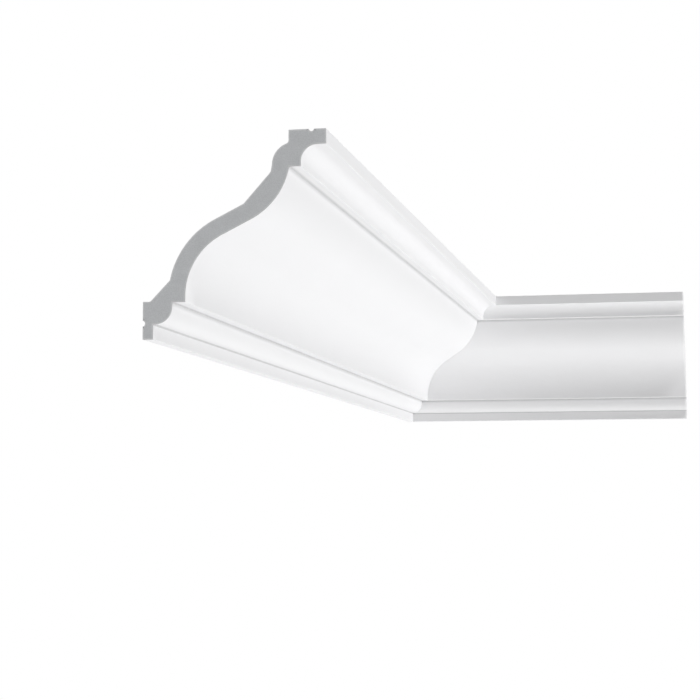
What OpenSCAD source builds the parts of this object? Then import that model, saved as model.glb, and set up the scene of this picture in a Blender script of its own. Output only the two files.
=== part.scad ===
// Cornice moulding for the corner between a wall and a ceiling: two lengths
// of one section, mitred together in an inside corner of the room.
//
// X runs along the back wall to the right, the left length runs along -Y and
// Z is up. The two wall planes and the lower edge meet at the origin.
// In the section, [0, 0] is the lower edge on the wall, the first number is
// the distance out from the wall and the second is the height.

/* [Overall] */
// Height, from the lower edge to the ceiling
height = 147; // [124:1:180]
// Projection, from the wall to the tip on the ceiling
projection = 133.5; // [112:0.5:165]
// Left length along the wall, from its square cut to the corner
left_len = 1107; // [250:1:2000]
// Right length along the wall, from the corner to its square cut
right_len = 361; // [200:1:2000]

/* [Tip and cavetto] */
// Height of the upright band at the tip
tip_h = 11; // [8:0.5:14]
// Width of the flat under the tip, before the cavetto
soffit_w = 6.4; // [3:0.1:10]
// Radius of the cavetto, the small hollow quarter round
cavetto_r = 11.8; // [9:0.1:15]
// Height of the upright below the cavetto
neck_h = 3.6; // [1:0.1:6]
// Width of the flat between that upright and the ogee
fillet_w = 8.5; // [5:0.1:11]

/* [Ogee] */
// Angle by which the ogee leans in at its top, in degrees
ogee_lean = 10.3; // [0:0.1:20]
// Radius of the upper curve, as a multiple of the lower one's
ogee_balance = 1.06; // [0.8:0.02:1.3]
// Fullness of the two curves: at 1 they meet with no straight between them
ogee_fullness = 0.96; // [0.8:0.01:1]
// Height of the upright at the foot of the ogee
ogee_drop = 4.3; // [0:0.1:8]

/* [Ovolo and foot] */
// Width of the flat below the ogee
ledge_w = 9.5; // [6:0.1:12]
// Height of the upright above the ovolo
ovolo_rise = 3; // [1:0.1:6]
// Radius of the ovolo, the small full quarter round
ovolo_r = 12.4; // [9:0.1:15]
// Width of the flat between the ovolo and the foot
ovolo_lip = 1.6; // [0.5:0.1:4]
// Height of the upright band at the foot
foot_h = 10.9; // [8:0.1:14]
// Thickness of the foot, from the wall to the upright band
foot_t = 7.8; // [6:0.1:11]

/* [Back] */
// Thickness of the shell behind the ogee
shell = 12.5; // [10:0.1:15.5]
// Width of the face that meets the ceiling
ceiling_seat = 27.2; // [22:0.1:33]
// Height of the face that meets the wall
wall_seat = 27.1; // [22:0.1:33]
// Width of the ledge on top of the wall seat
wall_ledge = 5.5; // [4:0.1:8]
// Angle above its centre where the hollow's lower curve stops, in degrees
toe_angle = 11; // [6:0.5:16]
// Radius of the hollow behind the cavetto
head_r = 15.6; // [13:0.1:19]
// Height of that hollow's centre above the top of the ogee
head_rise = 1.9; // [0:0.1:4]
// Drop from that centre to the bend above the long straight
head_drop = 5.2; // [3:0.1:8]
// Radius of the rounded inner bends of the hollow
bend_r = 2.5; // [1:0.1:3.5]

/* [Glue grooves] */
// Width of each groove
groove_w = 4.2; // [2:0.1:6]
// Depth of each groove
groove_d = 1.7; // [0.8:0.1:2.5]
// Distance of the ceiling groove's centre from the tip
ceiling_groove_in = 10.8; // [6:0.1:16]
// Height of the wall groove's centre above the lower edge
wall_groove_up = 11.5; // [6:0.1:16]

/* [Hidden] */

// Angle between neighbouring points on the large curves, on the quarter
// rounds, on the inner bends and round a groove
curve_step = 4;
quarter_step = 6;
bend_step = 8;
groove_step = 24;
// How far the mitre's waste reaches past the moulding on each side
waste_margin = 10;
primed_white = [0.95, 0.95, 0.94];

// --- Geometry helpers

function unit(v) = v / norm(v);
function ray(angle) = [cos(angle), sin(angle)];

// Points on an arc about a centre, both ends included
function arc(centre, r, from, to, step) =
    let (n = max(2, ceil(abs(to - from) / step)))
    [for (i = [0:n]) centre + r * ray(from + (to - from) * i / n)];

// The shorter way round from one angle to another
function turn(angle) =
    angle > 180 ? angle - 360 : angle < -180 ? angle + 360 : angle;

// The arc of radius r that rounds a corner between its two neighbours
function rounded(before, corner, after, r) =
    let (
        u = unit(before - corner),
        v = unit(after - corner),
        half = acos(u * v) / 2,
        centre = corner + unit(u + v) * r / sin(half),
        a = corner + u * r / tan(half) - centre,
        b = corner + v * r / tan(half) - centre,
        from = atan2(a[1], a[0])
    )
    arc(centre, r, from, from + turn(atan2(b[1], b[0]) - from), bend_step);

// --- The ogee: two arcs and the straight that touches both

// Its top, under the fillet, and the lower end of its curved part
ogee_top = [
    projection - soffit_w - cavetto_r - fillet_w,
    height - tip_h - cavetto_r - neck_h
];
ogee_foot = [foot_t + ovolo_lip + ovolo_r + ledge_w, foot_h + ovolo_r + ovolo_rise];
curve_end = ogee_foot + [0, ogee_drop];

// Directions from each end to its arc's centre
to_upper = -ray(-ogee_lean);
to_lower = ray(0);

// With a lower radius r the centres are span + r * spread apart. The largest r
// is the one where that distance comes down to the sum of the two radii.
span = ogee_top - curve_end;
spread = ogee_balance * to_upper - to_lower;
reach = pow(1 + ogee_balance, 2) - spread * spread;
largest_r = (span * spread + sqrt(pow(span * spread, 2) + reach * (span * span))) / reach;
lower_r = ogee_fullness * largest_r;
upper_r = ogee_balance * lower_r;
upper_centre = ogee_top + upper_r * to_upper;
lower_centre = curve_end + lower_r * to_lower;

// Direction square to the straight, from the upper centre out to the room
centre_line = lower_centre - upper_centre;
straight_out = atan2(centre_line[1], centre_line[0])
    + acos((upper_r + lower_r) / norm(centre_line));

// --- The section, in four stretches that run clockwise

function groove(mid, inward) =
    let (
        r = (groove_w * groove_w / 4 + groove_d * groove_d) / (2 * groove_d),
        half = acos(1 - groove_d / r)
    )
    arc(mid + (groove_d - r) * ray(inward), r, inward - half, inward + half, groove_step);

// The lower edge and the face that meets the wall
function wall_face() = concat(
    [[foot_t, 0], [0, 0]],
    groove([0, wall_groove_up], 0),
    [[0, wall_seat]]
);

// The hollow behind the moulding, from the wall ledge up to the ceiling seat
function hollow() =
    let (
        hollow_r = lower_r + shell,
        ledge_corner = [wall_ledge, wall_seat],
        toe = lower_centre + hollow_r * ray(180 - toe_angle),
        straight_top = upper_centre + (upper_r - shell) * ray(straight_out),
        head_centre = ogee_top + [head_r - shell, head_rise],
        head_start = head_centre - [head_r, 0],
        bend = head_start - head_drop * [tan(ogee_lean), 1],
        seat_edge = projection - ceiling_seat,
        head_end = acos((seat_edge - bend_r - head_centre[0]) / head_r),
        head_last = head_centre + head_r * ray(head_end),
        seat_corner = head_last + bend_r * [1, -1 / tan(head_end)]
    )
    concat(
        rounded([0, wall_seat], ledge_corner, toe, bend_r),
        arc(lower_centre, hollow_r, 180 - toe_angle, 180 + straight_out, curve_step),
        [straight_top],
        rounded(straight_top, bend, head_start, bend_r),
        arc(head_centre, head_r, 180, head_end, quarter_step),
        rounded(head_last, seat_corner, [seat_edge, height], bend_r)
    );

// The face that meets the ceiling, out to the tip
function ceiling_face() = concat(
    [[projection - ceiling_seat, height]],
    groove([projection - ceiling_groove_in, height], -90),
    [[projection, height]]
);

// The side that faces the room, from the tip down to the foot
function room_side() =
    let (
        cavetto_centre = [projection - soffit_w, height - tip_h - cavetto_r],
        ovolo_centre = [foot_t + ovolo_lip, foot_h + ovolo_r]
    )
    concat(
        [[projection, height - tip_h]],
        arc(cavetto_centre, cavetto_r, 90, 180, quarter_step),
        [ogee_top + [fillet_w, 0]],
        arc(upper_centre, upper_r, -ogee_lean, straight_out, curve_step),
        arc(lower_centre, lower_r, 180 + straight_out, 180, curve_step),
        [ogee_foot, ogee_foot - [ledge_w, 0]],
        arc(ovolo_centre, ovolo_r, 0, -90, quarter_step),
        [[foot_t, foot_h]]
    );

module section() {
    polygon(concat(wall_face(), hollow(), ceiling_face(), room_side()));
}

// --- The two lengths

// What the saw takes off beyond the plane that halves the corner
module mitre_waste() {
    far = projection + waste_margin;
    translate([0, 0, -waste_margin])
        linear_extrude(height = height + 2 * waste_margin)
            polygon([[-waste_margin, waste_margin], [far, waste_margin], [far, -far]]);
}

// A length along -Y with its back on the plane X = 0, mitred at the origin
module mitred_run(len) {
    difference() {
        rotate([90, 0, 0]) linear_extrude(height = len) section();
        mitre_waste();
    }
}

module left_length() {
    color(primed_white) mitred_run(left_len);
}

// The same section reflected in the plane of the mitre, so it runs along +X
module right_length() {
    color(primed_white) mirror([1, 1, 0]) mitred_run(right_len);
}

left_length();
right_length();
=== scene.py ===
"""Cornice moulding for an inside corner of a room: two lengths of one section, mitred together.

Everything is in metres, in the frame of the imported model. X runs along the back wall to the right, the
left length runs along -Y, Z is up, and the two wall planes meet the lower edge at the origin. A point of
the section is (out, up): its distance out from the wall and its height above the lower edge.
"""

import math
from collections import namedtuple

import bpy
import numpy as np
from bpy.props import FloatProperty, FloatVectorProperty, PointerProperty
from bpy.types import Operator, Panel, PropertyGroup
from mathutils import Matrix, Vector


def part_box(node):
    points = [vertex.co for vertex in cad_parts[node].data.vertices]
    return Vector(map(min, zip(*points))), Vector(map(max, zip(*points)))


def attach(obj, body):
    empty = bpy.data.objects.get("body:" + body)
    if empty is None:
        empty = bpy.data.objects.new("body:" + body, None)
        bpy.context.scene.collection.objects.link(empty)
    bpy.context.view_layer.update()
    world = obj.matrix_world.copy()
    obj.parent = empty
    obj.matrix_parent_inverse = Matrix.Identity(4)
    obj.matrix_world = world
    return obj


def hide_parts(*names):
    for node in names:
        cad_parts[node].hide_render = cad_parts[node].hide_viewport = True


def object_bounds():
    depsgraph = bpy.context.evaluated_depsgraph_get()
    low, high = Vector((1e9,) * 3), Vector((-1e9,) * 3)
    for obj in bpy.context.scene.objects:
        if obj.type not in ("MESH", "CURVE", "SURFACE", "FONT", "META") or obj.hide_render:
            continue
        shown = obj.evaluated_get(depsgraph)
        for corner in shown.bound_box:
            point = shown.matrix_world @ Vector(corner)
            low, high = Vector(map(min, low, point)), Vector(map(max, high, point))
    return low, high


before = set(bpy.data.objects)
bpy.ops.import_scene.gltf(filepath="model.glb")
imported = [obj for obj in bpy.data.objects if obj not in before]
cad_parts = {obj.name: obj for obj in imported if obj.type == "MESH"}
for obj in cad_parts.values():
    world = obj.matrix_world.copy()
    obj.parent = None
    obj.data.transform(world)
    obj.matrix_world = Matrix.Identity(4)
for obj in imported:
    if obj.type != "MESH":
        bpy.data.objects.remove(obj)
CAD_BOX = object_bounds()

bl_info = {
    "name": "Cornice moulding corner",
    "version": (1, 0, 0),
    "blender": (4, 5, 0),
    "location": "View3D > Sidebar > Cornice",
    "description": "Builds two mitred lengths of a cornice moulding, with their finishes and a plain stage",
    "category": "Add Mesh",
}

MM = 0.001
LEFT_LOW, LEFT_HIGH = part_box("left_length")
_, RIGHT_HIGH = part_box("right_length")
BOX_LOW, BOX_HIGH = CAD_BOX
BOX_MIDDLE = (BOX_LOW + BOX_HIGH) / 2

# Angles between neighbouring points: on the large curves, the quarter rounds, the inner bends and a groove
CURVE_STEP = math.radians(1.5)
QUARTER_STEP = math.radians(3)
BEND_STEP = math.radians(6)
GROOVE_STEP = math.radians(10)
# Points on each eased arris, and the flat kept level beside it so that it shades as a flat. An arris and its
# flat take no more than this share of a side, so that two of them never meet.
ARRIS_POINTS = 6
ARRIS_MARGIN = 0.5 * MM
ARRIS_SHARE = 0.45
# Distance between rings along a length, and of the ring that keeps the shading straight beside an end
RING_SPACING = 25 * MM
END_MARGIN = 2 * MM
# Places of the two materials on a piece
MOULDED, SAWN = 0, 1


def linear(code):
    """The linear RGBA values of an sRGB colour written as #RRGGBB."""
    share = np.array([int(code[at : at + 2], 16) for at in (1, 3, 5)]) / 255
    low, high = share / 12.92, ((share + 0.055) / 1.055) ** 2.4
    return (*np.where(share <= 0.04045, low, high).tolist(), 1.0)


# --- Settings


def size(name, description, value):
    """A length in metres that a user can change."""
    return FloatProperty(
        name=name,
        description=description,
        default=value,
        min=0.0,
        precision=4,
        unit="LENGTH",
        subtype="DISTANCE",
    )


def angle(name, description, degrees):
    """An angle that a user can change."""
    return FloatProperty(
        name=name,
        description=description,
        default=math.radians(degrees),
        unit="ROTATION",
        subtype="ANGLE",
    )


def colour(name, description, code):
    """A colour that a user can change."""
    return FloatVectorProperty(
        name=name,
        description=description,
        default=linear(code),
        size=4,
        min=0.0,
        max=1.0,
        subtype="COLOR",
    )


def number(name, description, value, unit="NONE"):
    """A plain number that a user can change."""
    return FloatProperty(name=name, description=description, default=value, min=0.0, unit=unit)


class CorniceSizes(PropertyGroup):
    """Sizes of the section and of the two lengths."""

    height: size("Height", "From the lower edge to the ceiling", LEFT_HIGH.z - LEFT_LOW.z)
    projection: size("Projection", "From the wall to the tip", LEFT_HIGH.x - LEFT_LOW.x)
    left_length: size("Left length", "Along the wall, from the corner to the square cut", -LEFT_LOW.y)
    right_length: size("Right length", "Along the wall, from the corner to the square cut", RIGHT_HIGH.x)

    tip_height: size("Tip height", "Height of the upright band at the tip", 11 * MM)
    soffit_width: size("Soffit width", "Flat under the tip, before the cavetto", 6.4 * MM)
    cavetto_radius: size("Cavetto radius", "Radius of the small hollow quarter round", 11.8 * MM)
    neck_height: size("Neck height", "Upright below the cavetto", 3.6 * MM)
    fillet_width: size("Fillet width", "Flat between that upright and the ogee", 8.5 * MM)

    ogee_lean: angle("Ogee lean", "Angle by which the ogee leans in at its top", 10.3)
    ogee_balance: number("Ogee balance", "Radius of the upper curve, as a multiple of the lower one's", 1.06)
    ogee_fullness: number("Ogee fullness", "At 1 the two curves meet with no straight between them", 0.96)
    ogee_drop: size("Ogee drop", "Upright at the foot of the ogee", 4.3 * MM)

    ledge_width: size("Ledge width", "Flat below the ogee", 9.5 * MM)
    ovolo_rise: size("Ovolo rise", "Upright above the ovolo", 3 * MM)
    ovolo_radius: size("Ovolo radius", "Radius of the small full quarter round", 12.4 * MM)
    ovolo_lip: size("Ovolo lip", "Flat between the ovolo and the foot", 1.6 * MM)
    foot_height: size("Foot height", "Height of the upright band at the foot", 10.9 * MM)
    foot_thickness: size("Foot thickness", "From the wall to that band", 7.8 * MM)

    shell: size("Shell", "Thickness of the moulding behind the ogee", 12.5 * MM)
    ceiling_seat: size("Ceiling seat", "Width of the face that meets the ceiling", 27.2 * MM)
    wall_seat: size("Wall seat", "Height of the face that meets the wall", 27.1 * MM)
    wall_ledge: size("Wall ledge", "Ledge on top of the wall seat", 5.5 * MM)
    toe_angle: angle("Toe angle", "Angle above its centre where the hollow's lower curve stops", 11)
    head_radius: size("Head radius", "Radius of the hollow behind the cavetto", 15.6 * MM)
    head_rise: size("Head rise", "That hollow's centre above the top of the ogee", 1.9 * MM)
    head_drop: size("Head drop", "From that centre down to the bend above the long straight", 5.2 * MM)
    bend_radius: size("Bend radius", "Radius of the rounded inner bends of the hollow", 2.5 * MM)

    groove_width: size("Groove width", "Width of each glue groove", 4.2 * MM)
    groove_depth: size("Groove depth", "Depth of each glue groove", 1.7 * MM)
    ceiling_groove: size("Ceiling groove", "From the tip to the ceiling groove's middle", 10.8 * MM)
    wall_groove: size("Wall groove", "From the lower edge to the wall groove's middle", 11.5 * MM)

    arris: size("Arris", "Radius that the primer gives an outer edge", 0.45 * MM)
    cove: size("Cove", "Radius that the primer fills into an inner edge", 0.35 * MM)
    mitre_ease: size("Mitre easing", "Chamfer that sanding leaves on the edges of the mitre", 0.12 * MM)
    skin: size("Skin", "Depth of the denser foam just under the surface", 1.3 * MM)


class CorniceFinish(PropertyGroup):
    """Colours of the finishes."""

    primer: colour("Primer", "Sprayed primer on the side that faces the room", "#E9E9EA")
    bare: colour("Bare foam", "Moulded foam where the primer doesn't reach", "#DFDEDB")
    sawn: colour("Sawn foam", "Cells of the foam on a sawn end", "#E4E6E8")
    rind: colour("Rind", "Denser foam at the rim of a sawn end", "#F2F3F4")


class CorniceStage(PropertyGroup):
    """Camera, lamps and floor."""

    camera_place: FloatVectorProperty(
        name="Camera place",
        description="Where the camera stands, below the moulding and out in the room",
        default=(0.3996, -2.309, -0.1264),
        unit="LENGTH",
        subtype="TRANSLATION",
    )
    camera_rise: angle("Camera rise", "Angle by which the camera looks up", 5.408)
    camera_turn: angle("Camera turn", "Angle by which the camera looks to the left", 11.701)
    camera_lens: number("Camera lens", "Focal length on a 36 mm sensor", 91.45, "CAMERA")
    floor_drop: size("Floor drop", "From the lower edge of the moulding down to the floor", 1.3)
    floor_radius: size("Floor radius", "Radius of the round floor", 9.0)
    floor_colour: colour("Floor", "Colour of the floor", "#EDEDED")
    floor_lift: number("Floor lift", "Light added to the floor where it is seen", 0.34)
    floor_glow: number("Floor glow", "Light that the floor gives the moulding, as a light table does", 0.58)
    far_glow: number("Far glow", "Light that the floor gives further out", 0.5)
    fill: number("Fill", "Brightness of the room around the moulding", 0.12)
    side_light: number("Side light", "Light of the softbox on the right, on a face square to it", 0.52)
    high_light: number("High light", "Light of the softbox high in front, on a face square to it", 0.3)
    back_light: number("Back light", "Light of the softbox behind and above, on a face square to it", 0.7)


# --- The section

Ogee = namedtuple("Ogee", "top foot upper upper_radius lower lower_radius straight_out")


def ray(turn):
    """The unit vector at an angle, in radians, measured from straight out towards up."""
    return np.array([math.cos(turn), math.sin(turn)])


def arc(centre, radius, start, end, step):
    """Points on an arc: the centre plus the radius times the unit vector at evenly spaced angles."""
    turns = np.linspace(start, end, max(2, math.ceil(abs(end - start) / step)) + 1)
    return centre + radius * np.column_stack([np.cos(turns), np.sin(turns)])


def rounded(before, corner, after, radius):
    """The arc that rounds a corner. Its centre lies on the corner's bisector, at the radius over the sine of
    half the corner's angle, and its ends lie on both sides, at the radius over the tangent of that half."""
    u, v = (side / np.linalg.norm(side) for side in (before - corner, after - corner))
    half = math.acos(u @ v) / 2
    centre = corner + (u + v) / np.linalg.norm(u + v) * radius / math.sin(half)
    a, b = (corner + side * radius / math.tan(half) - centre for side in (u, v))
    start, end = math.atan2(a[1], a[0]), math.atan2(b[1], b[0])
    sweep = (end - start + math.pi) % math.tau - math.pi
    return arc(centre, radius, start, start + sweep, BEND_STEP)


def solve_ogee(s):
    """The two arcs of the ogee and the straight that touches both. With a lower radius r the centres are
    span + r * spread apart, and the largest r is the one where that distance is the sum of the two radii."""
    top = np.array([
        s.projection - s.soffit_width - s.cavetto_radius - s.fillet_width,
        s.height - s.tip_height - s.cavetto_radius - s.neck_height,
    ])
    foot = np.array([
        s.foot_thickness + s.ovolo_lip + s.ovolo_radius + s.ledge_width,
        s.foot_height + s.ovolo_radius + s.ovolo_rise,
    ])
    curve_end = foot + [0, s.ogee_drop]
    to_upper, to_lower = -ray(-s.ogee_lean), ray(0)
    span = top - curve_end
    spread = s.ogee_balance * to_upper - to_lower
    reach = (1 + s.ogee_balance) ** 2 - spread @ spread
    largest = (span @ spread + math.sqrt((span @ spread) ** 2 + reach * (span @ span))) / reach
    lower_radius = s.ogee_fullness * largest
    upper_radius = s.ogee_balance * lower_radius
    upper = top + upper_radius * to_upper
    lower = curve_end + lower_radius * to_lower
    across = lower - upper
    touch = math.acos((upper_radius + lower_radius) / np.linalg.norm(across))
    straight_out = math.atan2(across[1], across[0]) + touch
    return Ogee(top, foot, upper, upper_radius, lower, lower_radius, straight_out)


def rows(points, ease=0.0, coat=0.0):
    """One row for each point: its place, the radius that eases it and the share of primer on it."""
    points = np.atleast_2d(points)
    return np.column_stack([points, np.full((len(points), 2), [ease, coat])])


def groove(s, middle, inward):
    """A shallow round groove: an arc through both its edges that is as far in as its depth at the middle."""
    radius = (s.groove_width**2 / 4 + s.groove_depth**2) / (2 * s.groove_depth)
    half = math.acos(1 - s.groove_depth / radius)
    centre = np.array(middle) + (s.groove_depth - radius) * ray(inward)
    return arc(centre, radius, inward - half, inward + half, GROOVE_STEP)


def hollow(s, ogee):
    """The back of the moulding, from the wall ledge up to the ceiling seat. It follows the lower arc of the
    ogee and the straight at the shell's thickness, then a wider arc behind the cavetto."""
    radius = ogee.lower_radius + s.shell
    toe = ogee.lower + radius * ray(math.pi - s.toe_angle)
    straight_top = ogee.upper + (ogee.upper_radius - s.shell) * ray(ogee.straight_out)
    head = ogee.top + [s.head_radius - s.shell, s.head_rise]
    head_start = head - [s.head_radius, 0]
    bend = head_start - s.head_drop * np.array([math.tan(s.ogee_lean), 1])
    seat_edge = s.projection - s.ceiling_seat
    head_end = math.acos((seat_edge - s.bend_radius - head[0]) / s.head_radius)
    head_last = head + s.head_radius * ray(head_end)
    seat_corner = head_last + s.bend_radius * np.array([1, -1 / math.tan(head_end)])
    ledge_corner = np.array([s.wall_ledge, s.wall_seat])
    return np.concatenate([
        rounded(np.array([0, s.wall_seat]), ledge_corner, toe, s.bend_radius),
        arc(ogee.lower, radius, math.pi - s.toe_angle, math.pi + ogee.straight_out, CURVE_STEP),
        [straight_top],
        rounded(straight_top, bend, head_start, s.bend_radius),
        arc(head, s.head_radius, math.pi, head_end, QUARTER_STEP),
        rounded(head_last, seat_corner, np.array([seat_edge, s.height]), s.bend_radius),
    ])


def section(s):
    """The whole outline, clockwise from the front of the lower edge: up the wall seat, through the hollow,
    out along the ceiling seat and down the side that faces the room. Only that side and the lower edge have
    the primer."""
    ogee = solve_ogee(s)
    cavetto = np.array([s.projection - s.soffit_width, s.height - s.tip_height - s.cavetto_radius])
    ovolo = np.array([s.foot_thickness + s.ovolo_lip, s.foot_height + s.ovolo_radius])
    wall_groove = groove(s, (0, s.wall_groove), 0)
    ceiling_groove = groove(s, (s.projection - s.ceiling_groove, s.height), -math.pi / 2)
    ogee_upper = arc(ogee.upper, ogee.upper_radius, -s.ogee_lean, ogee.straight_out, CURVE_STEP)
    ogee_lower = arc(ogee.lower, ogee.lower_radius, math.pi + ogee.straight_out, math.pi, CURVE_STEP)
    return np.concatenate([
        rows((s.foot_thickness, 0), s.arris, 1),
        rows((0, 0), s.arris, 1),
        rows(wall_groove),
        rows((0, s.wall_seat), s.arris),
        rows(hollow(s, ogee)),
        rows((s.projection - s.ceiling_seat, s.height), s.arris),
        rows(ceiling_groove),
        rows((s.projection, s.height), s.arris, 1),
        rows((s.projection, s.height - s.tip_height), s.arris, 1),
        rows(arc(cavetto, s.cavetto_radius, math.pi / 2, math.pi, QUARTER_STEP), 0, 1),
        rows(ogee.top + [s.fillet_width, 0], s.arris, 1),
        rows(ogee_upper[:1], s.cove, 1),
        rows(ogee_upper[1:], 0, 1),
        rows(ogee_lower, 0, 1),
        rows(ogee.foot, s.arris, 1),
        rows(ogee.foot - [s.ledge_width, 0], s.cove, 1),
        rows(arc(ovolo, s.ovolo_radius, 0, -math.pi / 2, QUARTER_STEP), 0, 1),
        rows((s.foot_thickness, s.foot_height), s.cove, 1),
    ])


def unit(vectors):
    """Each row divided by its length."""
    return vectors / np.linalg.norm(vectors, axis=-1, keepdims=True)


def eased(outline):
    """Eases the arrises of an outline. Where a row has a radius, an arc that touches both sides takes the
    corner's place, between two points that keep the flats beside it level. Returns the points, the row each
    came from, and for each row the direction that halves its corner inwards, as long as it takes to move both
    sides in by 1."""
    corner, radius = outline[:, :2], outline[:, 2]
    before, after = np.roll(corner, 1, axis=0) - corner, np.roll(corner, -1, axis=0) - corner
    u, v = unit(before), unit(after)
    half = np.arccos(np.clip((u * v).sum(1), -1, 1)) / 2
    inward = np.column_stack([v[:, 1] - u[:, 1], u[:, 0] - v[:, 0]])
    inward = unit(inward) / np.sin(half)[:, None]

    run = radius / np.tan(half)
    bisector = np.where(radius[:, None] > 0, u + v, 1.0)
    centre = corner + unit(bisector) * (radius / np.sin(half))[:, None]
    start, end = corner + u * run[:, None] - centre, corner + v * run[:, None] - centre
    turn = np.arctan2(start[:, 1], start[:, 0])
    sweep = (np.arctan2(end[:, 1], end[:, 0]) - turn + math.pi) % math.tau - math.pi

    count = np.where(radius > 0, ARRIS_POINTS + 2, 1)
    row = np.repeat(np.arange(len(corner)), count)
    step = np.arange(len(row)) - np.repeat(np.cumsum(count) - count, count) - 1
    at = turn[row] + sweep[row] * step / (ARRIS_POINTS - 1)
    on_arc = centre[row] + radius[row][:, None] * np.column_stack([np.cos(at), np.sin(at)])
    room_before = np.minimum(run + ARRIS_MARGIN, ARRIS_SHARE * np.linalg.norm(before, axis=1))
    room_after = np.minimum(run + ARRIS_MARGIN, ARRIS_SHARE * np.linalg.norm(after, axis=1))
    level_before = (corner + u * room_before[:, None])[row]
    level_after = (corner + v * room_after[:, None])[row]
    kept, first, last = count[row] == 1, step == -1, step == ARRIS_POINTS
    points = np.select(
        [kept[:, None], first[:, None], last[:, None]], [corner[row], level_before, level_after], on_arc
    )
    return points, row, inward


def cove_distance(points, row, outline, cove):
    """How far each point is from the nearest inner edge, measured round the outline."""
    place = np.cumsum(np.linalg.norm(points - np.roll(points, 1, axis=0), axis=1))
    at_cove = outline[row, 2] == cove
    centres = [place[row == each].mean() for each in np.unique(row[at_cove])]
    return np.abs(place[:, None] - np.array(centres)).min(1)


# --- Meshes


def ring_places(length, ease):
    """Shares of the way from the mitre to the square cut at which the section is drawn: close to both ends,
    so that the shading stays straight there, and evenly between them."""
    middle = np.linspace(0, 1, math.ceil(length / RING_SPACING) + 1)[1:-1]
    return np.concatenate([[0, ease / length, END_MARGIN / length], middle, [1 - END_MARGIN / length, 1]])


def side_faces(along, points):
    """Quads between neighbouring rings. Their UVs are the distance along the length and round the section."""
    here = np.arange(len(points))
    after = np.roll(here, -1)
    start = np.arange(len(along) - 1)[:, None] * len(points)
    ahead = start + len(points)
    faces = np.stack([start + here, ahead + here, ahead + after, start + after], axis=-1)
    steps = np.linalg.norm(np.roll(points, -1, axis=0) - points, axis=1)
    girth = np.concatenate([[0], np.cumsum(steps)])
    around = np.stack([girth[:-1], girth[:-1], girth[1:], girth[1:]], axis=-1)
    uv = np.stack([along.reshape(-1)[faces], np.broadcast_to(around, faces.shape)], axis=-1)
    return faces.reshape(-1, 4), uv.reshape(-1, 4, 2), MOULDED


def end_faces(vertices, row, core_count, ring_start, core_start, winding):
    """The faces that close an end: a band from its ring to its core and one face within the core. The band
    has a quad between points of two rows and a triangle between points of the same row. A winding of -1
    turns the faces round."""
    here = np.arange(len(row))
    after = np.roll(here, -1)
    ring, next_ring = ring_start + here, ring_start + after
    core, next_core = core_start + row[here], core_start + row[after]
    same = core == next_core
    quads = np.column_stack([ring, next_ring, next_core, core])[~same]
    threes = np.column_stack([ring, next_ring, core])[same]
    whole = core_start + np.arange(core_count)
    for faces in (quads, threes, whole[None]):
        faces = faces[:, ::winding]
        yield faces, vertices[faces][..., [0, 2]], SAWN


def swept_length(s, length):
    """One mitred length on the plane X = 0, as arrays: its vertices, the values that the finishes read at
    each vertex, and its faces with their UVs and finishes.

    The section is carried from the mitre to the square cut. A point of it starts in the plane Y = -X, at its
    own distance out, and ends in the plane Y = -length. The first ring lies inside the section by the mitre's
    easing. Each end has a core, which is the outline moved inwards by the depth of the skin."""
    outline = section(s)
    points, row, inward = eased(outline)
    heading = unit(np.roll(points, -1, axis=0) - np.roll(points, 1, axis=0))
    inner_side = np.column_stack([heading[:, 1], -heading[:, 0]])
    places = ring_places(length, s.mitre_ease)
    rings = np.repeat(points[None], len(places), axis=0)
    rings[0] += s.mitre_ease * inner_side
    out, up = rings[..., 0], rings[..., 1]
    along = out + places[:, None] * (length - out)
    body = np.stack([out, -along, up], axis=-1).reshape(-1, 3)

    core = outline[:, :2] + s.skin * inward
    mitre_core = np.column_stack([core[:, 0], -core[:, 0], core[:, 1]])
    sawn_core = np.column_stack([core[:, 0], np.full(len(core), -length), core[:, 1]])
    vertices = np.concatenate([body, mitre_core, sawn_core])

    last_ring = len(body) - len(points)
    groups = [
        side_faces(along, points),
        *end_faces(vertices, row, len(core), 0, len(body), 1),
        *end_faces(vertices, row, len(core), last_ring, len(body) + len(core), -1),
    ]

    # Distance to the nearest inner edge, which the primer's painted shade reads
    nook = cove_distance(points, row, outline, s.cove)
    values = {
        "primer": np.concatenate([np.tile(outline[row, 3], len(places)), np.zeros(2 * len(core))]),
        "cove": np.concatenate([np.tile(nook, len(places)), np.ones(2 * len(core))]),
        "depth": np.concatenate([np.zeros(len(body)), np.ones(2 * len(core))]),
    }
    return vertices, values, groups


def add_object(name, data):
    """Makes an object of a mesh, a lamp or a camera and puts it in the scene."""
    made = bpy.data.objects.new(name, data)
    bpy.context.scene.collection.objects.link(made)
    return made


def build_piece(name, vertices, values, groups, materials):
    """Puts the arrays into a new mesh. Moulded faces shade smooth and sawn faces shade flat."""
    faces = [face for group, _, _ in groups for face in group.tolist()]
    mesh = bpy.data.meshes.new(name)
    mesh.from_pydata(vertices.tolist(), [], faces)
    finish = np.concatenate([np.full(len(group), slot) for group, _, slot in groups])
    mesh.polygons.foreach_set("material_index", finish.astype(np.int32))
    mesh.polygons.foreach_set("use_smooth", finish == MOULDED)
    uv = np.concatenate([places.reshape(-1, 2) for _, places, _ in groups])
    mesh.uv_layers.new(name="surface").uv.foreach_set("vector", uv.astype(np.float32).ravel())
    for label, value in values.items():
        attribute = mesh.attributes.new(label, "FLOAT", "POINT")
        attribute.data.foreach_set("value", value.astype(np.float32))
    for material in materials:
        mesh.materials.append(material)
    mesh.update()
    return add_object(name, mesh)


def mirrored(vertices, groups):
    """Reflects a length in the plane of the mitre, Y = -X, so that X and Y swap and change sign. The faces
    are turned round, because a reflection turns a shape inside out."""
    turned = [(faces[:, ::-1], uv[:, ::-1], slot) for faces, uv, slot in groups]
    return vertices[:, [1, 0, 2]] * [-1, -1, 1], turned


# --- Materials

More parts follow.
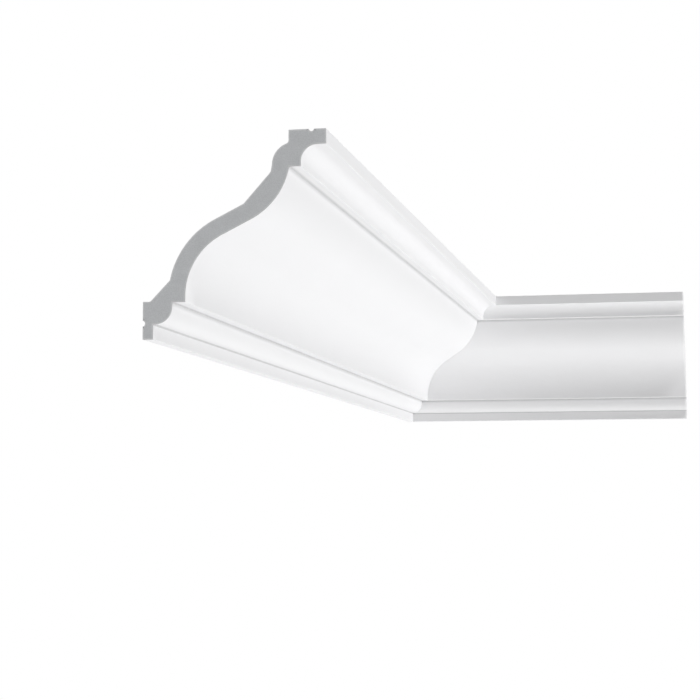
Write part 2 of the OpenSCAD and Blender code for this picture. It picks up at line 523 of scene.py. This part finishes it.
# On the primer: specks of overspray at the seats, clouds in the coat and orange peel
SPECK = 0.8 * MM
CLOUD = 60 * MM
PEEL = 2.2 * MM
# The coat starts to show, and covers, where the share of primer and the specks add up to these
COAT_STARTS = 0.75
COAT_COVERS = 1.1
# How far from an inner edge the painted shade reaches
COVE_SHADE_REACH = 3.5 * MM
# Tones of the moulded faces, as shares of the colour: the thinnest coat between the clouds, the painted
# shade in an inner edge, the bare foam between flow lines and the painted shade at the bottom of a pinhole
CLOUD_TONE = 0.985
PAINTED_COVE_SHADE = 0.72
FLOW_TONE = 0.92
PINHOLE_PAINTED_SHADE = 0.6
# Flow lines on the bare foam: their length and their spacing
FLOW_LENGTH = 90 * MM
FLOW_SPACING = 2 * MM
# Pinholes in it: their spacing, the radius of their bottom and of their rim, and their depth as a multiple
# of the flow lines' depth
PINHOLE_SPACING = 18 * MM
PINHOLE_BOTTOM = 0.36 * MM
PINHOLE_RIM = 0.81 * MM
PINHOLE_DEPTH = 4.0
# On a sawn end: cells, which are about 0.3 mm wide and are drawn coarser so that they show, and patches of
# looser and denser foam
CELL = 0.8 * MM
PATCH = 9 * MM
# Tones of the sawn faces, as shares of the colour: painted shade in the hollow middle of a cell and a lighter
# rim, and loose and dense foam
CELL_SHADE_TONES = (0.92, 1.04)
PATCH_TONES = (0.94, 1.06)
# Marks of the blade: their spacing, their slope across the face and their depth as a share of a cell's
MARK_SPACING = 1.6 * MM
MARK_SLOPE = math.radians(24)
MARK_DEPTH = 0.25
# Height of the relief on moulded and on sawn foam
MOULDED_RELIEF = 0.08 * MM
SAWN_RELIEF = 0.06 * MM
# A wave texture turns through this many radians in one unit of its pattern
WAVE_TURN = 20


def add_node(tree, kind, inputs=None, **settings):
    """Adds a node with its settings. Each input is linked if it is given a socket, and set otherwise."""
    made = tree.nodes.new(kind)
    for name, value in settings.items():
        setattr(made, name, value)
    for socket, value in (inputs or {}).items():
        if isinstance(value, bpy.types.NodeSocket):
            tree.links.new(value, made.inputs[socket])
        else:
            made.inputs[socket].default_value = value
    return made


def new_material(name):
    """An empty material with its node tree, or the one already made under that name."""
    material = bpy.data.materials.get(name) or bpy.data.materials.new(name)
    material.use_nodes = True
    material.node_tree.nodes.clear()
    return material, material.node_tree


def primed_polyurethane(finish):
    """Moulded polyurethane foam, with a sprayed acrylic primer on the side that faces the room.

    The primer is matt and almost white, with the faint orange peel of a spray gun and soft clouds where the
    coat is thicker. It thins out in specks over the seats. The bare foam behind has the mould's slight
    sheen, fine lines where the foam flowed along the mould, and a few pinholes."""
    material, tree = new_material("Acrylic_Primer_On_Moulded_Polyurethane")
    place = add_node(tree, "ShaderNodeTexCoord")
    surface = add_node(tree, "ShaderNodeUVMap", uv_map="surface")
    primer_share = add_node(tree, "ShaderNodeAttribute", attribute_name="primer")

    # Overspray: specks decide where the thinning coat still covers
    specks = add_node(
        tree, "ShaderNodeTexNoise", {"Vector": place.outputs["Object"], "Scale": 1 / SPECK, "Detail": 2.0}
    )
    reach = add_node(
        tree, "ShaderNodeMath", {0: primer_share.outputs["Fac"], 1: specks.outputs["Fac"]}, operation="ADD"
    )
    coat = add_node(
        tree, "ShaderNodeMapRange",
        {"Value": reach.outputs[0], "From Min": COAT_STARTS, "From Max": COAT_COVERS},
        interpolation_type="SMOOTHSTEP",
    )

    # The coat is slightly darker where its clouds are thin
    clouds = add_node(
        tree, "ShaderNodeTexNoise", {"Vector": place.outputs["Object"], "Scale": 1 / CLOUD, "Detail": 3.0}
    )
    thin_coat = [part * CLOUD_TONE for part in finish.primer[:3]] + [1.0]
    primer_colour = add_node(
        tree, "ShaderNodeMix", {"Factor": clouds.outputs["Fac"], "A": thin_coat, "B": finish.primer},
        data_type="RGBA",
    )

    # Lines where the foam flowed along the mould, and a slightly darker tone between the clouds
    stretched = add_node(
        tree, "ShaderNodeMapping",
        {"Vector": surface.outputs["UV"], "Scale": (1 / FLOW_LENGTH, 1 / FLOW_SPACING, 1.0)},
    )
    flow = add_node(
        tree, "ShaderNodeTexNoise", {"Vector": stretched.outputs["Vector"], "Scale": 1.0, "Detail": 3.0}
    )
    streaks = add_node(
        tree, "ShaderNodeMath", {0: flow.outputs["Fac"], 1: clouds.outputs["Fac"]}, operation="MULTIPLY"
    )
    bare_tone = add_node(
        tree, "ShaderNodeMapRange",
        {"Value": streaks.outputs[0], "From Min": 0.1, "From Max": 0.4, "To Min": FLOW_TONE, "To Max": 1.0},
    )
    # Pinholes where air was caught against the mould: 0 at the bottom, 1 outside the rim
    pinholes = add_node(
        tree, "ShaderNodeTexVoronoi",
        {"Vector": place.outputs["Object"], "Scale": 1 / PINHOLE_SPACING},
        feature="F1",
    )
    hole = add_node(tree, "ShaderNodeMapRange", {
        "Value": pinholes.outputs["Distance"],
        "From Min": PINHOLE_BOTTOM / PINHOLE_SPACING,
        "From Max": PINHOLE_RIM / PINHOLE_SPACING,
    })
    # Painted shade: the bare foam darkens towards the bottom of each pinhole
    holed_tone = add_node(
        tree, "ShaderNodeMapRange",
        {"Value": hole.outputs["Result"], "To Min": PINHOLE_PAINTED_SHADE, "To Max": bare_tone.outputs["Result"]},
    )
    bare_colour = add_node(
        tree, "ShaderNodeVectorMath", {0: finish.bare[:3], "Scale": holed_tone.outputs["Result"]},
        operation="SCALE",
    )

    mixed = add_node(tree, "ShaderNodeMix", {
        "Factor": coat.outputs["Result"],
        "A": bare_colour.outputs["Vector"],
        "B": primer_colour.outputs["Result"],
    }, data_type="RGBA")
    # Painted shade: the coat is darkened beside the inner edges, where shade would fall
    cove = add_node(tree, "ShaderNodeAttribute", attribute_name="cove")
    cove_shade = add_node(
        tree, "ShaderNodeMapRange",
        {"Value": cove.outputs["Fac"], "From Max": COVE_SHADE_REACH, "To Min": PAINTED_COVE_SHADE, "To Max": 1.0},
        interpolation_type="SMOOTHSTEP",
    )
    base = add_node(
        tree, "ShaderNodeVectorMath", {0: mixed.outputs["Result"], "Scale": cove_shade.outputs["Result"]},
        operation="SCALE",
    )

    # Relief: orange peel on the primer, flow lines and pinholes on the bare foam
    peel = add_node(
        tree, "ShaderNodeTexNoise", {"Vector": place.outputs["Object"], "Scale": 1 / PEEL, "Detail": 1.0}
    )
    bare_height = add_node(
        tree, "ShaderNodeMath", {0: hole.outputs["Result"], 1: PINHOLE_DEPTH, 2: flow.outputs["Fac"]},
        operation="MULTIPLY_ADD",
    )
    height = add_node(
        tree, "ShaderNodeMix",
        {"Factor": coat.outputs["Result"], "A": bare_height.outputs[0], "B": peel.outputs["Fac"]},
        data_type="FLOAT",
    )
    relief = add_node(
        tree, "ShaderNodeBump",
        {"Strength": 1.0, "Distance": MOULDED_RELIEF, "Height": height.outputs["Result"]},
    )
    # The mould leaves the bare foam smoother than the primer
    roughness = add_node(
        tree, "ShaderNodeMapRange", {"Value": coat.outputs["Result"], "To Min": 0.46, "To Max": 0.62}
    )
    shader = add_node(tree, "ShaderNodeBsdfPrincipled", {
        "Base Color": base.outputs["Vector"],
        "Roughness": roughness.outputs["Result"],
        "IOR": 1.48,
        "Specular IOR Level": 0.35,
        "Normal": relief.outputs["Normal"],
    })
    add_node(tree, "ShaderNodeOutputMaterial", {"Surface": shader.outputs["BSDF"]})
    return material


def sawn_polyurethane(finish):
    """Polyurethane foam cut with a fine saw. Its broken cells leave a dull, pale grey face, with a paler,
    denser rind just under the moulded surface and the faint parallel marks of the blade."""
    material, tree = new_material("Sawn_Polyurethane_Foam")
    place = add_node(tree, "ShaderNodeTexCoord")
    face = add_node(tree, "ShaderNodeUVMap", uv_map="surface")
    depth = add_node(tree, "ShaderNodeAttribute", attribute_name="depth")

    cells = add_node(
        tree, "ShaderNodeTexVoronoi", {"Vector": place.outputs["Object"], "Scale": 1 / CELL}, feature="F1"
    )
    patches = add_node(
        tree, "ShaderNodeTexNoise", {"Vector": place.outputs["Object"], "Scale": 1 / PATCH, "Detail": 2.0}
    )
    # The pattern of the marks is counted in marks, so that one wave is one mark wide
    marks = add_node(tree, "ShaderNodeMapping", {
        "Vector": face.outputs["UV"],
        "Rotation": (0, 0, MARK_SLOPE),
        "Scale": (1 / MARK_SPACING, 1 / MARK_SPACING, 1.0),
    })
    saw = add_node(tree, "ShaderNodeTexWave", {
        "Vector": marks.outputs["Vector"],
        "Scale": math.tau / WAVE_TURN,
        "Distortion": 0.6,
        "Detail": 1.0,
    })
    # Painted shade: each cell is darker in its hollow middle and lighter at its rim
    cell_shade = add_node(tree, "ShaderNodeMapRange", {
        "Value": cells.outputs["Distance"],
        "From Max": 0.7,
        "To Min": CELL_SHADE_TONES[0],
        "To Max": CELL_SHADE_TONES[1],
    })
    density = add_node(
        tree, "ShaderNodeMapRange",
        {"Value": patches.outputs["Fac"], "To Min": PATCH_TONES[0], "To Max": PATCH_TONES[1]},
    )
    tone = add_node(
        tree, "ShaderNodeMath", {0: cell_shade.outputs["Result"], 1: density.outputs["Result"]},
        operation="MULTIPLY",
    )
    # The rind keeps its density for half the skin's depth, then loosens to the foam inside
    loosening = add_node(
        tree, "ShaderNodeMapRange", {"Value": depth.outputs["Fac"], "From Min": 0.5, "From Max": 1.0},
        interpolation_type="SMOOTHSTEP",
    )
    inside = add_node(
        tree, "ShaderNodeMix",
        {"Factor": loosening.outputs["Result"], "A": finish.rind, "B": finish.sawn},
        data_type="RGBA",
    )
    base = add_node(
        tree, "ShaderNodeVectorMath", {0: inside.outputs["Result"], "Scale": tone.outputs[0]},
        operation="SCALE",
    )
    rough_face = add_node(
        tree, "ShaderNodeMath", {0: saw.outputs["Fac"], 1: MARK_DEPTH, 2: cells.outputs["Distance"]},
        operation="MULTIPLY_ADD",
    )
    relief = add_node(
        tree, "ShaderNodeBump", {"Strength": 1.0, "Distance": SAWN_RELIEF, "Height": rough_face.outputs[0]}
    )
    shader = add_node(tree, "ShaderNodeBsdfPrincipled", {
        "Base Color": base.outputs["Vector"],
        "Roughness": 0.95,
        "IOR": 1.5,
        "Specular IOR Level": 0.1,
        "Normal": relief.outputs["Normal"],
    })
    add_node(tree, "ShaderNodeOutputMaterial", {"Surface": shader.outputs["BSDF"]})
    return material


# --- Stage

# The floor fades to white between these shares of its radius, and its rim has this many points
FADE_START = 0.2
FADE_END = 0.7
RIM_POINTS = 96
WHITE = (1.0, 1.0, 1.0, 1.0)
# Width of the camera's sensor, in millimetres as Blender counts it
SENSOR_WIDTH = 36
# Each softbox: its place from the middle of the moulding, the side of its front, and how widely it spreads
SOFTBOXES = {
    "side": (Vector((4.5, -0.1, -0.35)), 1.1, math.radians(100)),
    "high": (Vector((2.8, -3.0, 5.2)), 1.6, math.pi),
    "back": (Vector((-2.4, 2.4, 2.8)), 2.0, math.pi),
}


def seen_directly(tree):
    """A value that is 1 for what the camera sees directly, in a mirror or through glass, and 0 otherwise."""
    path = add_node(tree, "ShaderNodeLightPath")
    mirrored_too = add_node(
        tree, "ShaderNodeMath", {0: path.outputs["Is Camera Ray"], 1: path.outputs["Is Glossy Ray"]},
        operation="MAXIMUM",
    )
    through_glass_too = add_node(
        tree, "ShaderNodeMath", {0: mirrored_too.outputs[0], 1: path.outputs["Is Transmission Ray"]},
        operation="MAXIMUM",
    )
    return through_glass_too.outputs[0]


def pale_floor(stage):
    """A matt pale floor that gives light like a light table. Where it is seen, it shows the moulding's soft
    shadow and fades to white further out."""
    material, tree = new_material("Pale_Floor")
    place = add_node(tree, "ShaderNodeTexCoord")
    distance = add_node(tree, "ShaderNodeVectorMath", {0: place.outputs["Object"]}, operation="LENGTH")
    far = add_node(tree, "ShaderNodeMapRange", {
        "Value": distance.outputs["Value"],
        "From Min": FADE_START * stage.floor_radius,
        "From Max": FADE_END * stage.floor_radius,
    }, interpolation_type="SMOOTHSTEP")
    seen = seen_directly(tree)
    near_light = add_node(
        tree, "ShaderNodeMapRange", {"Value": seen, "To Min": stage.floor_glow, "To Max": stage.floor_lift}
    )
    far_light = add_node(
        tree, "ShaderNodeMapRange", {"Value": seen, "To Min": stage.far_glow, "To Max": 1.0}
    )
    matt = add_node(tree, "ShaderNodeBsdfDiffuse", {"Color": stage.floor_colour})
    glow = add_node(
        tree, "ShaderNodeEmission", {"Color": WHITE, "Strength": near_light.outputs["Result"]}
    )
    near = add_node(tree, "ShaderNodeAddShader", {0: matt.outputs["BSDF"], 1: glow.outputs["Emission"]})
    white = add_node(
        tree, "ShaderNodeEmission", {"Color": WHITE, "Strength": far_light.outputs["Result"]}
    )
    mix = add_node(
        tree, "ShaderNodeMixShader",
        {"Fac": far.outputs["Result"], 1: near.outputs["Shader"], 2: white.outputs["Emission"]},
    )
    add_node(tree, "ShaderNodeOutputMaterial", {"Surface": mix.outputs["Shader"]})
    return material


def softbox(name, offset, side, spread, light):
    """A square lamp that faces the middle of the moulding and isn't seen itself. A white face there that is
    square to it gets this light: the power over the square of the distance and the square of pi. A grid on
    its front narrows it to its spread, and gathers its power into 1 - a / tan(a), for half the spread a."""
    half = spread / 2
    gathered = 1 - half / math.tan(half)
    data = bpy.data.lights.new(name, "AREA")
    data.energy = light * offset.length_squared * math.pi**2 * gathered
    data.size = side
    data.spread = spread
    lamp = add_object(name, data)
    lamp.location = BOX_MIDDLE + offset
    lamp.rotation_euler = (-offset).to_track_quat("-Z", "Y").to_euler()
    lamp.visible_camera = False


def floor_disc(stage):
    """A flat disc under the moulding, drawn as one face whose edge is a circle."""
    turns = np.linspace(0, math.tau, RIM_POINTS, endpoint=False)
    level = BOX_LOW.z - stage.floor_drop
    edge = np.column_stack([
        BOX_MIDDLE.x + stage.floor_radius * np.cos(turns),
        BOX_MIDDLE.y + stage.floor_radius * np.sin(turns),
        np.full(RIM_POINTS, level),
    ])
    mesh = bpy.data.meshes.new("floor")
    mesh.from_pydata(edge.tolist(), [], [list(range(RIM_POINTS))])
    mesh.materials.append(pale_floor(stage))
    return add_object("floor", mesh)


def white_room(scene, stage):
    """A world that is white where it is seen or mirrored, and an even fill light elsewhere."""
    scene.world = scene.world or bpy.data.worlds.new("room")
    scene.world.use_nodes = True
    tree = scene.world.node_tree
    tree.nodes.clear()
    strength = add_node(
        tree, "ShaderNodeMapRange", {"Value": seen_directly(tree), "To Min": stage.fill, "To Max": 1.0}
    )
    background = add_node(
        tree, "ShaderNodeBackground", {"Color": WHITE, "Strength": strength.outputs["Result"]}
    )
    add_node(tree, "ShaderNodeOutputWorld", {"Surface": background.outputs["Background"]})


# --- Operators


def finish_piece(context, name, length, node, mirror):
    """Builds one length, gives it its finishes and puts it in the place of its plain solid."""
    sizes, finish = context.scene.cornice_sizes, context.scene.cornice_finish
    vertices, values, groups = swept_length(sizes, length)
    if mirror:
        vertices, groups = mirrored(vertices, groups)
    materials = [primed_polyurethane(finish), sawn_polyurethane(finish)]
    piece = build_piece(name, vertices, values, groups, materials)
    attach(piece, "root")
    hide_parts(node)


class CORNICE_OT_left_length(Operator):
    """Build the left length, which runs along the left wall to the corner"""

    bl_idname = "cornice.left_length"
    bl_label = "Left Length"

    def execute(self, context):
        length = context.scene.cornice_sizes.left_length
        finish_piece(context, "left_cornice_length", length, "left_length", mirror=False)
        return {"FINISHED"}


class CORNICE_OT_right_length(Operator):
    """Build the right length, which runs along the back wall from the corner"""

    bl_idname = "cornice.right_length"
    bl_label = "Right Length"

    def execute(self, context):
        length = context.scene.cornice_sizes.right_length
        finish_piece(context, "right_cornice_length", length, "right_length", mirror=True)
        return {"FINISHED"}


class CORNICE_OT_stage(Operator):
    """Set up the camera, the lamps, the white room and the floor"""

    bl_idname = "cornice.stage"
    bl_label = "Stage"

    def execute(self, context):
        scene, stage = context.scene, context.scene.cornice_stage
        data = bpy.data.cameras.new("camera")
        data.lens = stage.camera_lens
        data.sensor_width = SENSOR_WIDTH
        camera = add_object("camera", data)
        camera.location = stage.camera_place
        camera.rotation_euler = (math.pi / 2 + stage.camera_rise, 0, stage.camera_turn)
        scene.camera = camera
        floor_disc(stage)
        for name, (offset, side, spread) in SOFTBOXES.items():
            softbox(f"{name}_softbox", offset, side, spread, getattr(stage, f"{name}_light"))
        white_room(scene, stage)
        scene.view_settings.view_transform = "Standard"
        return {"FINISHED"}


class CORNICE_PT_panel(Panel):
    """Sizes, finishes and stage of the cornice moulding"""

    bl_idname = "CORNICE_PT_panel"
    bl_label = "Cornice Moulding"
    bl_space_type = "VIEW_3D"
    bl_region_type = "UI"
    bl_category = "Cornice"

    def draw(self, context):
        for operator in OPERATORS:
            self.layout.operator(operator.bl_idname)
        for setting, cls in SETTINGS.items():
            box = self.layout.box()
            for name in cls.__annotations__:
                box.prop(getattr(context.scene, setting), name)


OPERATORS = (CORNICE_OT_left_length, CORNICE_OT_right_length, CORNICE_OT_stage)
SETTINGS = {
    "cornice_sizes": CorniceSizes,
    "cornice_finish": CorniceFinish,
    "cornice_stage": CorniceStage,
}


def register():
    """Registers the classes and gives the scene its settings."""
    for cls in (*SETTINGS.values(), *OPERATORS, CORNICE_PT_panel):
        bpy.utils.register_class(cls)
    for name, cls in SETTINGS.items():
        setattr(bpy.types.Scene, name, PointerProperty(type=cls))


def unregister():
    """Takes the settings and the classes away again."""
    for name in SETTINGS:
        delattr(bpy.types.Scene, name)
    for cls in (CORNICE_PT_panel, *OPERATORS, *SETTINGS.values()):
        bpy.utils.unregister_class(cls)


def main():
    """Builds the pieces and the stage."""
    register()
    bpy.ops.cornice.left_length()
    bpy.ops.cornice.right_length()
    bpy.ops.cornice.stage()


if __name__ == "__main__":
    main()
